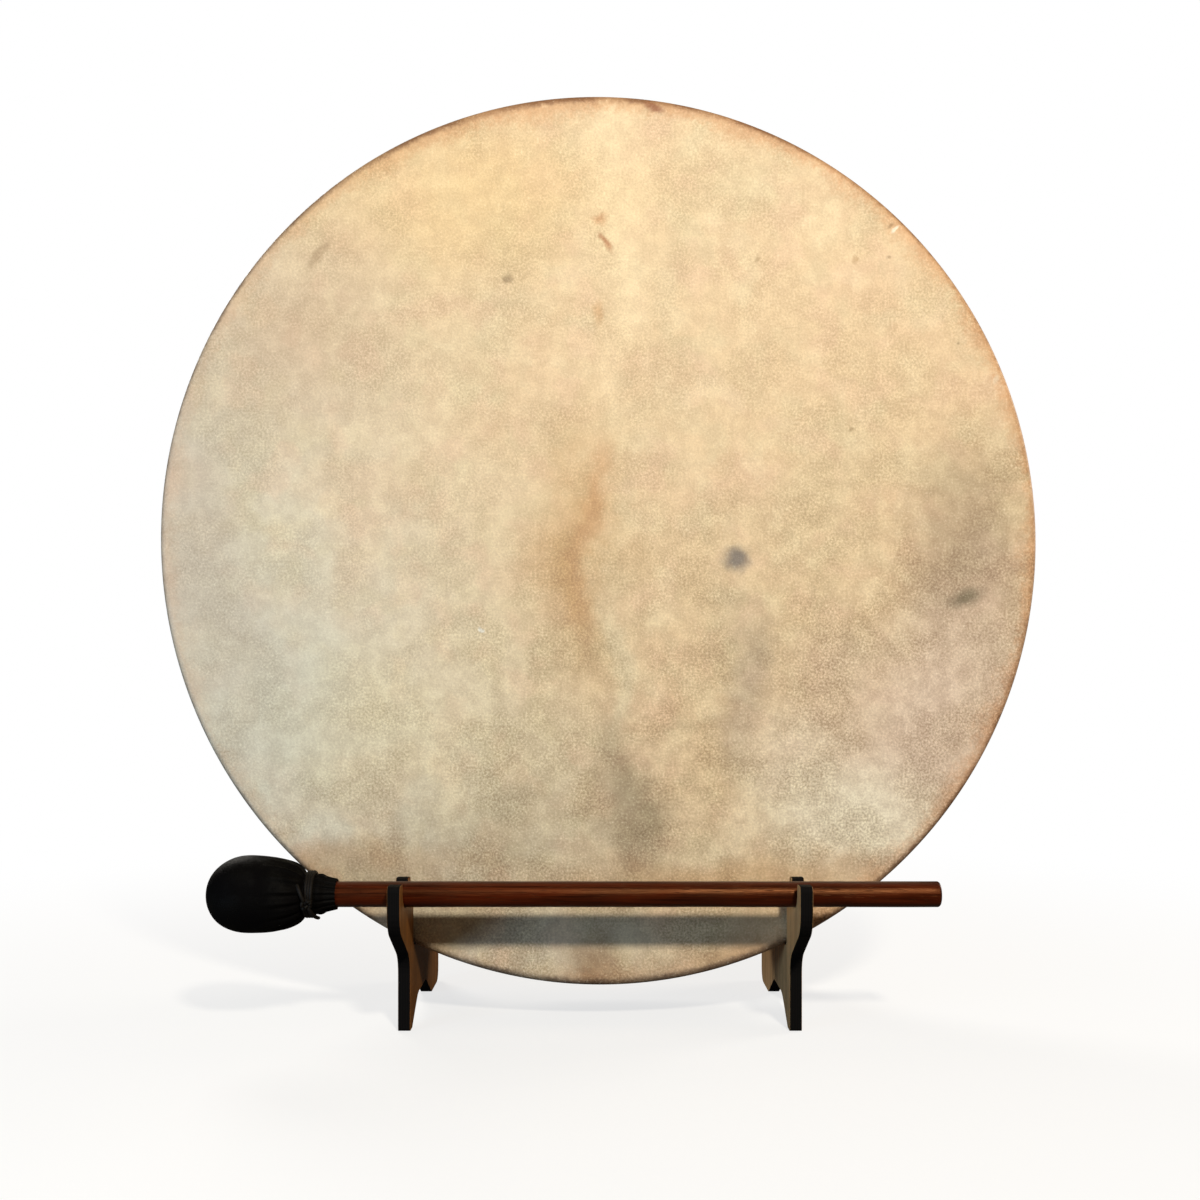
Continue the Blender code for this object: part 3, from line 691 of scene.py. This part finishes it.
# Points of one thong, and how much its flat side is twisted at each
def thongRoute(middle, seed):
    halfStep = math.pi / (2 * rim["laceCount"])
    over = drumDepth + lacing["gap"] + lacing["thickness"] / 2
    hug = ringTube + lacing["gap"] + lacing["thickness"] / 2
    outward = Vector((math.cos(middle), 0, math.sin(middle)))
    across = Vector((-math.sin(middle), 0, math.cos(middle)))
    spread = lacing["pitch"] * lacing["turns"] / 2

    def atHole(side, inset, y):
        angle = middle + side * halfStep
        return Vector(drumPoint(rimRadius(angle) - inset, angle, y))

    def wrapPoint(turn):
        angle = math.pi / 2 + 2 * math.pi * turn
        point = outward * (ringRadius + hug * math.cos(angle))
        point += across * (-spread + lacing["pitch"] * turn)
        point.y = ringDepth + hug * math.sin(angle)
        return point

    def tail(side):
        inset = lacing["tailInset"]
        dive = [(inset - 0.0013, over - 0.0028), (inset - 0.0009, over - 0.0014), (inset - 0.0002, over - 0.0004),
                (inset + 0.0012, over), (inset + 0.0035, over)]
        return [atHole(side, depth, y) for depth, y in dive]

    first = tail(-1) + [atHole(-1, lacing["clearInset"], over)]
    last = tail(1) + [atHole(1, lacing["clearInset"], over)]
    entry, leave = wrapPoint(0.0), wrapPoint(lacing["turns"])
    route = list(first)
    twist = [0.0] * len(first)
    for start, end, backwards in ((first[-1], entry, False), (last[-1], leave, True)):
        run = []
        turns = []
        flip = math.pi if noise.cell(Vector((seed, 7.5 if backwards else 2.5, 0.5))) > 0.35 else 0.0
        for k in range(1, lacing["runPoints"]):
            share = k / lacing["runPoints"]
            wobble = across * (lacing["wobble"] * waver(share * 3, seed, 1.0 if backwards else 5.0))
            run.append(start.lerp(end, share) + wobble * math.sin(math.pi * share))
            turns.append(flip * ease((share - lacing["flipFrom"]) / lacing["flipLength"]))
        if backwards:
            back, backTwist = run[::-1], [t - flip for t in turns[::-1]]
        else:
            route += run
            twist += turns
            held = flip
    count = lacing["wrapPoints"]
    route += [wrapPoint(lacing["turns"] * k / count) for k in range(count + 1)]
    twist += [held] * (count + 1)
    route += back + last[::-1]
    twist += [held + t for t in backTwist]
    twist += [twist[-1]] * len(last)
    return route, twist, across


def makeThong(name, node, middle, seed, material):
    route, twist, across = thongRoute(middle, seed)
    rings = []
    for k, point in enumerate(route):
        along = (route[min(k + 1, len(route) - 1)] - route[max(k - 1, 0)]).normalized()
        wide = (across - along * along.dot(across)).normalized()
        thick = along.cross(wide)
        turned = wide * math.cos(twist[k]) + thick * math.sin(twist[k])
        up = thick * math.cos(twist[k]) - wide * math.sin(twist[k])
        wideNoise = waver(k * 0.21, seed * 3.1, 0)
        thickNoise = waver(k * 0.33, seed * 5.3, 2)
        halfWidth = lacing["width"] / 2 * (1 + lacing["uneven"] * wideNoise)
        halfThick = lacing["thickness"] / 2 * (1 + lacing["unevenThick"] * thickNoise)
        ring = []
        for s in range(lacing["sides"]):
            a = 2 * math.pi * (s + 0.5) / lacing["sides"]
            c, d = math.cos(a), math.sin(a)
            x = math.copysign(abs(c) ** lacing["flatness"], c) * halfWidth
            y = math.copysign(abs(d) ** lacing["roundness"], d) * halfThick
            ring.append(point + turned * x + up * y)
        rings.append(ring)
    first, last = (sum(rings[k], Vector()) / lacing["sides"] for k in (0, -1))
    rings = [[first]] + rings + [[last]]
    piece = meshFromRings(name, rings, drumCentre)
    faceOutward(piece, 60.0)
    dress(piece, material, "thong", node)


def makeLacing():
    material = makeLeather("driedThong", lacing)
    for k in range(rim["laceCount"]):
        middle = 2 * math.pi * (k + 0.5) / rim["laceCount"]
        makeThong("laceThong%02d" % (k + 1), "lace_%02d" % (k + 1), middle, k + 1.0, material)
    print("lacing is made")


makeLacing()


# The hand ring, wound with a leather strip
ringWrap = {
    "around": 600, "tube": 24, "turns": 28, "step": 0.0010, "lapEdge": 9, "uneven": 0.00015,
    "gloss": 0.4, "roughness": (0.7, 0.52), "poreSize": 0.0006, "creaseSize": 0.0022, "bump": (0.00016, 0.8),
    "clouds": (110.0, 0.32, 0.68), "dark": paint(86, 54, 34), "pale": paint(126, 84, 54),
    "marks": {"Creases": (0.4, paint(50, 30, 20))},
}


def makeRing():
    rings = []
    for a in circle(ringWrap["around"]):
        ring = []
        for t in circle(ringWrap["tube"]):
            phase = (a * ringWrap["turns"] - t) / (2 * math.pi) % 1.0
            lap = phase * ease((1 - phase) * ringWrap["lapEdge"])   # each turn rises, then drops at the next
            tube = ringTube - ringWrap["step"] * (1 - lap)
            tube += ringWrap["uneven"] * waver(a * 9, t, 3.0)
            ring.append(drumPoint(ringRadius + tube * math.cos(t), a, ringDepth + tube * math.sin(t)))
        rings.append(ring)
    piece = meshFromRings("handRing", rings, drumCentre, closed=True)
    faceOutward(piece, 50.0)
    dress(piece, makeLeather("ringLeather", ringWrap), "ring_leather", "hand_ring")
    print("hand ring is made")


makeRing()


# The beater's stick
stick = {
    "sides": 56, "steps": 70, "softEnd": 0.0013, "softStart": 0.0006, "uneven": 0.00010, "dome": 0.0005,
    "gloss": 0.33, "sheenTone": (1.0, 0.42, 0.17, 1.0), "roughness": (0.26, 0.46), "bandSize": 0.0045,
    "fibreSize": 0.00045, "waviness": 0.7, "bump": (0.00012, 0.8), "pale": paint(64, 18, 5),
    "dark": paint(36, 8, 3), "fibres": (0.38, 0.68, 0.6, paint(84, 32, 10)), "pores": (0.7, paint(22, 9, 5)),
    "worn": (0.5, paint(38, 12, 6)),
}


def makeStickMaterial():
    material, tree, shader, spot = newMaterial("stickWood", stick["gloss"])
    shader.inputs["Specular Tint"].default_value = stick["sheenTone"]
    parts = axes(tree, spot)
    along = put(tree, "CombineXYZ", {"X": parts["Y"], "Y": parts["Z"], "Z": parts["X"]}).outputs[0]
    colour, grain = woodColour(tree, stick, along, stick["pale"], stick["dark"])
    colour = wash(tree, colour, between(tree, cloud(tree, spot, 30.0), 0.40, 0.68), *stick["worn"])
    roughness = between(tree, grain["Fibres"], 0.3, 0.7, *stick["roughness"])
    finishLook(tree, shader, colour, roughness, grain["Height"], stick["bump"])
    return material


def makeStick():
    start, end, soft, blunt = stickLow.x, stickHigh.x, stick["softEnd"], stick["softStart"]
    steps = stick["steps"]
    profile = [(start, stickRadius - blunt), (start + blunt, stickRadius)]
    first = start + 0.001
    profile += [(first + (end - soft - first) * k / steps, stickRadius) for k in range(1, steps)]
    profile += arcPoints((end - soft, stickRadius - soft), soft, 90, 12, 5)
    profile += [(end - stick["dome"] * share, (stickRadius - soft) * (1 - share)) for share in (0.35, 0.7)]
    rings = [[(start, 0, 0)]]
    for x, radius in profile:
        ring = []
        for a in circle(stick["sides"]):
            hand = stick["uneven"] * waver(x * 30, math.cos(a), math.sin(a))
            ring.append(beaterPoint(x, radius + hand, a))
        rings.append(ring)
    rings.append([(end, 0, 0)])
    piece = meshFromRings("beaterStick", rings, beaterAxis)
    faceOutward(piece, 45.0)
    dress(piece, makeStickMaterial(), "stick_wood", "beater_stick")
    print("stick is made")


makeStick()


# The beater's padded leather head, gathered at the stick
pad = {
    "sides": 144, "rows": 110, "widest": 0.36, "tipRoundness": 2.2, "neckStart": 0.755, "neckEnd": 0.843,
    "neck": 0.0101, "mouth": 0.0076, "skirtSwell": 0.0007, "folds": 17, "foldDepth": 0.0012, "lumps": 0.00045,
    "leather": 0.0006, "boreGap": 0.0003, "boreDepth": 0.036, "gloss": 0.05,
    "roughness": (0.80, 0.62), "poreSize": 0.0005, "creaseSize": 0.0032, "bump": (0.00022, 0.8),
    "clouds": (90.0, 0.35, 0.7), "dark": paint(3, 2, 2), "pale": paint(6, 5, 4),
    "marks": {"Creases": (0.5, paint(4, 3, 3))},
}
padLength = headHigh.x - headLow.x
padRadius = (headHigh.z - headLow.z) / 2


def padOutline(share):   # the head's radius along its length, 0 at the tip and 1 at the mouth
    if share <= pad["widest"]:
        q = 1 - share / pad["widest"]
        return padRadius * (1 - q ** pad["tipRoundness"]) ** (1 / pad["tipRoundness"])
    if share < pad["neckStart"]:
        q = (share - pad["widest"]) / (pad["neckStart"] - pad["widest"])
        return pad["neck"] + (padRadius - pad["neck"]) * math.sqrt(1 - q * q)
    if share <= pad["neckEnd"]:
        return pad["neck"]
    q = (share - pad["neckEnd"]) / (1 - pad["neckEnd"])
    swell = math.sin(math.pi * min(q * 2.2, 1.0)) * pad["skirtSwell"]
    return pad["neck"] + (pad["mouth"] - pad["neck"]) * q + swell


# Gathers: none on the ball, deep beside the binding, and flared in the skirt
def padFold(share, angle):
    wander = 0.9 * waver(math.cos(angle) * 1.3, math.sin(angle) * 1.3, 4.0)
    wave = math.cos(pad["folds"] * angle + 3.0 * wander + share * 2.0)
    wave += 0.5 * math.cos(pad["folds"] * 1.9 * angle + 6.0 * wander)
    if share < pad["neckStart"]:
        depth = ease((share - 0.42) / 0.30) * (1 - 0.55 * ease((share - 0.70) / 0.05))
    elif share <= pad["neckEnd"]:
        depth = 0.25
    else:
        depth = 0.30 + 0.25 * ease((share - pad["neckEnd"]) / 0.06)
    return pad["foldDepth"] * depth * (wave - 0.9) * 0.5


def makePad():
    rings = [[(headLow.x, 0, 0)]]
    for k in range(1, pad["rows"] + 1):
        share = (k / pad["rows"]) ** 1.15
        radius = padOutline(share)
        ring = []
        for a in circle(pad["sides"]):
            soft = pad["lumps"] * waver(share * 4, math.cos(a) * 1.4, math.sin(a) * 1.4)
            soft *= ease(share * 8) * (1 - ease((share - 0.6) / 0.15))
            r = radius + soft - pad["lumps"] * 0.4 + padFold(share, a)
            if share > pad["widest"]:
                r = max(r, stickRadius + pad["leather"])
            ring.append(beaterPoint(headLow.x + padLength * share, r, a))
        rings.append(ring)
    bore = stickRadius + pad["boreGap"]
    for x in (headHigh.x - pad["boreGap"], headHigh.x - pad["boreDepth"]):
        rings.append([beaterPoint(x, bore, a) for a in circle(pad["sides"])])
    rings.append([(headHigh.x - pad["boreDepth"], 0, 0)])
    piece = meshFromRings("beaterHead", rings, beaterAxis)
    faceOutward(piece, 60.0)
    dress(piece, makeLeather("headLeather", pad), "head_leather", "beater_head")
    print("beater head is made")


makePad()


# The thong that ties the head, three turns and a knot in front
tie = {
    "radius": 0.00095, "turns": 3, "turnPoints": 40, "sides": 10, "knotAngle": 196.0, "knotSize": 0.0021,
    "knotPoints": 24, "tailPoints": 13, "uneven": 0.12, "endShare": 0.6, "gloss": 0.12, "roughness": (0.6, 0.6),
    "poreSize": 0.0004, "creaseSize": 0.0016, "bump": (0.00012, 0.7), "clouds": (60.0, 0.3, 0.7),
    "dark": paint(17, 13, 9), "pale": paint(17, 13, 9), "marks": {"Creases": (1.0, paint(8, 6, 5))},
}
bindLow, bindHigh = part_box("beater_binding")
bindMiddle = (bindLow.x + bindHigh.x) / 2
knotTurn = math.radians(tie["knotAngle"])


def tube(points, radius, sides):
    rings = []
    for k, point in enumerate(points):
        along = (points[min(k + 1, len(points) - 1)] - points[max(k - 1, 0)]).normalized()
        helper = Vector((1, 0, 0)) if abs(along.x) < 0.8 else Vector((0, 0, 1))
        wide = along.cross(helper).normalized()
        up = along.cross(wide)
        size = radius * (1 + tie["uneven"] * waver(k * 0.3, 1.0, 2.0))
        if k in (0, len(points) - 1):
            size *= tie["endShare"]
        rings.append([point + wide * size * math.cos(a) + up * size * math.sin(a) for a in circle(sides)])
    return [[points[0]]] + rings + [[points[-1]]]


def tieRoute():
    width = tie["radius"] * 2.02 * (tie["turns"] - 1)
    reach = pad["neck"] + tie["radius"] * 0.75
    points = []
    steps = tie["turnPoints"] * tie["turns"]
    for k in range(steps + 1):
        share = k / steps
        a = knotTurn + 2 * math.pi * tie["turns"] * share
        x = bindMiddle - width / 2 + width * share
        points.append(Vector(beaterPoint(x, reach, a)))
    return points


def knotRoute(phase):   # one loop of the knot, lying on the turns
    out = Vector(beaterPoint(0, 1, knotTurn))
    up = Vector((0, -out.z, out.y))
    base = Vector((bindMiddle, 0, 0)) + out * (pad["neck"] + tie["radius"] * 2.1)
    points = []
    size = tie["knotSize"]
    for k in range(tie["knotPoints"] + 1):
        t = 2 * math.pi * k / tie["knotPoints"]
        points.append(base + Vector((1, 0, 0)) * size * math.cos(t + phase)
                      + up * size * 0.9 * math.sin(t) + out * tie["radius"] * 0.8 * math.cos(2 * t + phase))
    return points


def tailRoute(side):
    points = []
    for k in range(tie["tailPoints"] + 1):
        share = k / tie["tailPoints"]
        b = knotTurn + side * (0.10 + share * 0.75)
        reach = pad["neck"] + tie["radius"] * (2.6 - 0.6 * share) + 0.0006 * math.sin(share * 3.0)
        x = bindMiddle + side * 0.0009 + share * 0.0042 * side
        points.append(Vector(beaterPoint(x, reach, b)))
    return points


def makeTie():
    points, faces = [], []
    for route in (tieRoute(), knotRoute(0.0), knotRoute(2.1), tailRoute(1), tailRoute(-1)):
        part = meshFromRings("part", tube(route, tie["radius"], tie["sides"]))
        offset = len(points)
        points += [tuple(v.co) for v in part.data.vertices]
        faces += [tuple(offset + i for i in f.vertices) for f in part.data.polygons]
        bpy.data.objects.remove(part)
    mesh = bpy.data.meshes.new("beaterTie")
    mesh.from_pydata(points, [], faces)
    piece = addObject("beaterTie", mesh, beaterAxis)
    faceOutward(piece, 60.0)
    dress(piece, makeLeather("tieThong", tie), "binding_leather", "beater_binding")
    print("tie is made")


makeTie()


# The stand: thin boards with brown faces and blackened edges; one wood in two tones, with painted shade on the
# left board and painted light on the right board
boards = {
    "gloss": 0.12, "roughness": (0.50, 0.82), "bandSize": 0.007, "fibreSize": 0.0006, "waviness": 0.9,
    "bump": (0.0001, 0.6), "bandShade": 0.72, "fibres": (0.36, 0.7, 0.5, paint(104, 76, 44)),
    "pores": (0.5, paint(62, 42, 24)), "plyScale": 5000.0, "ply": paint(20, 13, 9),
    # the left board's face tone is the wood with painted shade, the right board's is the wood with painted light
    "leftFaceShaded": paint(140, 90, 42), "rightFaceLit": paint(200, 160, 112), "sideEdge": paint(3, 2, 2),
    "barFace": paint(158, 114, 66), "barEdge": paint(4, 3, 3),
}


def makeStandMaterial(name, faceTone, edgeTone, lying):
    material, tree, shader, spot = newMaterial(name, boards["gloss"])
    alongX, alongY, alongZ = axes(tree, spot)
    level = {"X": alongZ, "Y": alongY, "Z": alongX}
    fibreWay = put(tree, "CombineXYZ", level).outputs[0] if lying else spot
    darkTone = tuple(c * boards["bandShade"] for c in faceTone[:3]) + (1.0,)
    colour, grain = woodColour(tree, boards, fibreWay, faceTone, darkTone)
    facing = axes(tree, put(tree, "NewGeometry").outputs["True Normal"])
    flat = calc(tree, "ABSOLUTE", facing["Y" if lying else "X"])
    scorch = calc(tree, "MULTIPLY_ADD", cloud(tree, spot, 300.0), 0.1, -0.05)
    edge = between(tree, calc(tree, "ADD", flat, scorch), 0.40, 0.60, 1.0, 0.0)
    plies = calc(tree, "SINE", times(tree, alongY if lying else alongX, boards["plyScale"]))
    edgeColour = mix(tree, between(tree, plies, 0.2, 0.9, 0.0, 0.35), edgeTone, boards["ply"])
    roughness = between(tree, edge, 0.0, 1.0, *boards["roughness"])
    finishLook(tree, shader, mix(tree, edge, colour, edgeColour), roughness, grain["Height"], boards["bump"])
    return material


def dressStand():
    # the same wood, painted in shade for the left board and painted lit for the right board
    left = makeStandMaterial("leftBoardShadedWood", boards["leftFaceShaded"], boards["sideEdge"], False)
    right = makeStandMaterial("rightBoardLitWood", boards["rightFaceLit"], boards["sideEdge"], False)
    bar = makeStandMaterial("crossbarWood", boards["barFace"], boards["barEdge"], True)
    for node, material in (("stand_side_left", left), ("stand_side_right", right), ("stand_crossbar", bar)):
        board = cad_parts[node]
        board.data.materials.clear()
        board.data.materials.append(material)
    print("stand is dressed")


dressStand()


# Floor, lights and surroundings
room = {
    "floorSize": 12.0, "floorTone": paint(238, 238, 236), "bounceTone": paint(96, 90, 84),
    "surroundTone": (1.0, 0.74, 0.46), "surroundPower": 0.055, "floorGrain": 900.0,
    "shadowNear": 0.10, "shadowFar": 0.80, "shadowGlow": 0.72, "aimHeight": 0.9,
}
lamps = {
    "key": {"place": (0.29, -1.15, 0.915), "size": 0.13, "power": 18.5, "colour": (1.0, 0.92, 0.79)},
    "coolFill": {"place": (-0.85, -0.75, 0.18), "size": 0.50, "power": 5.6, "colour": (0.50, 0.74, 1.0)},
    "backLeft": {"place": (-0.70, 1.20, 0.95), "size": 0.60, "power": 16.0, "colour": (1.0, 0.95, 0.88)},
    "backRight": {"place": (1.25, 0.55, 0.60), "size": 0.60, "power": 9.0, "colour": (1.0, 0.93, 0.84)},
}


def makeFloor():
    size = room["floorSize"] / 2
    mesh = bpy.data.meshes.new("floor")
    mesh.from_pydata([(-size, -size, 0), (size, -size, 0), (size, size, 0), (-size, size, 0)], [], [(0, 1, 2, 3)])
    floor = addObject("floor", mesh)
    material, tree, shader, spot = newMaterial("paleFloor", 0.1, 0.9)
    seen = put(tree, "LightPath").outputs["Is Camera Ray"]
    grain = between(tree, cloud(tree, spot, room["floorGrain"], 2.0), 0.3, 0.7, 0.985, 1.0)
    tone = mix(tree, seen, room["bounceTone"], room["floorTone"])
    feed(tree, shader.inputs["Base Color"], mix(tree, 1.0, tone, grain, "MULTIPLY"))
    glow = put(tree, "Emission", {"Color": (1, 1, 1, 1), "Strength": 1.0})
    fade = between(tree, away(tree, spot), room["shadowNear"], room["shadowFar"], room["shadowGlow"], 1.0)
    blend = put(tree, "MixShader", {0: times(tree, seen, fade), 1: shader.outputs[0], 2: glow.outputs[0]})
    tree.links.new(blend.outputs[0], tree.nodes["Material Output"].inputs["Surface"])
    mesh.materials.append(material)


def makeLights():
    for name, lamp in lamps.items():
        data = bpy.data.lights.new(name, "AREA")
        data.shape = "DISK"
        data.size = lamp["size"]
        data.energy = lamp["power"]
        data.color = lamp["colour"]
        light = addObject(name, data, lamp["place"])
        aim = Vector((0, drumCentre.y, drumCentre.z * room["aimHeight"])) - light.location
        light.rotation_euler = aim.to_track_quat("-Z", "Y").to_euler()

    world = bpy.data.worlds.new("surroundings")
    world.use_nodes = True
    tree = world.node_tree
    dim = tree.nodes["Background"]
    dim.inputs["Color"].default_value = (*room["surroundTone"], 1.0)
    dim.inputs["Strength"].default_value = room["surroundPower"]
    bright = put(tree, "Background", {"Color": (1, 1, 1, 1), "Strength": 1.0})
    seen = put(tree, "LightPath").outputs["Is Camera Ray"]
    blend = put(tree, "MixShader", {0: seen, 1: dim.outputs[0], 2: bright.outputs[0]})
    tree.links.new(blend.outputs[0], tree.nodes["World Output"].inputs["Surface"])
    bpy.context.scene.world = world
    bpy.context.scene.view_settings.view_transform = "Standard"


makeFloor()
makeLights()
print("floor and lights are in place")
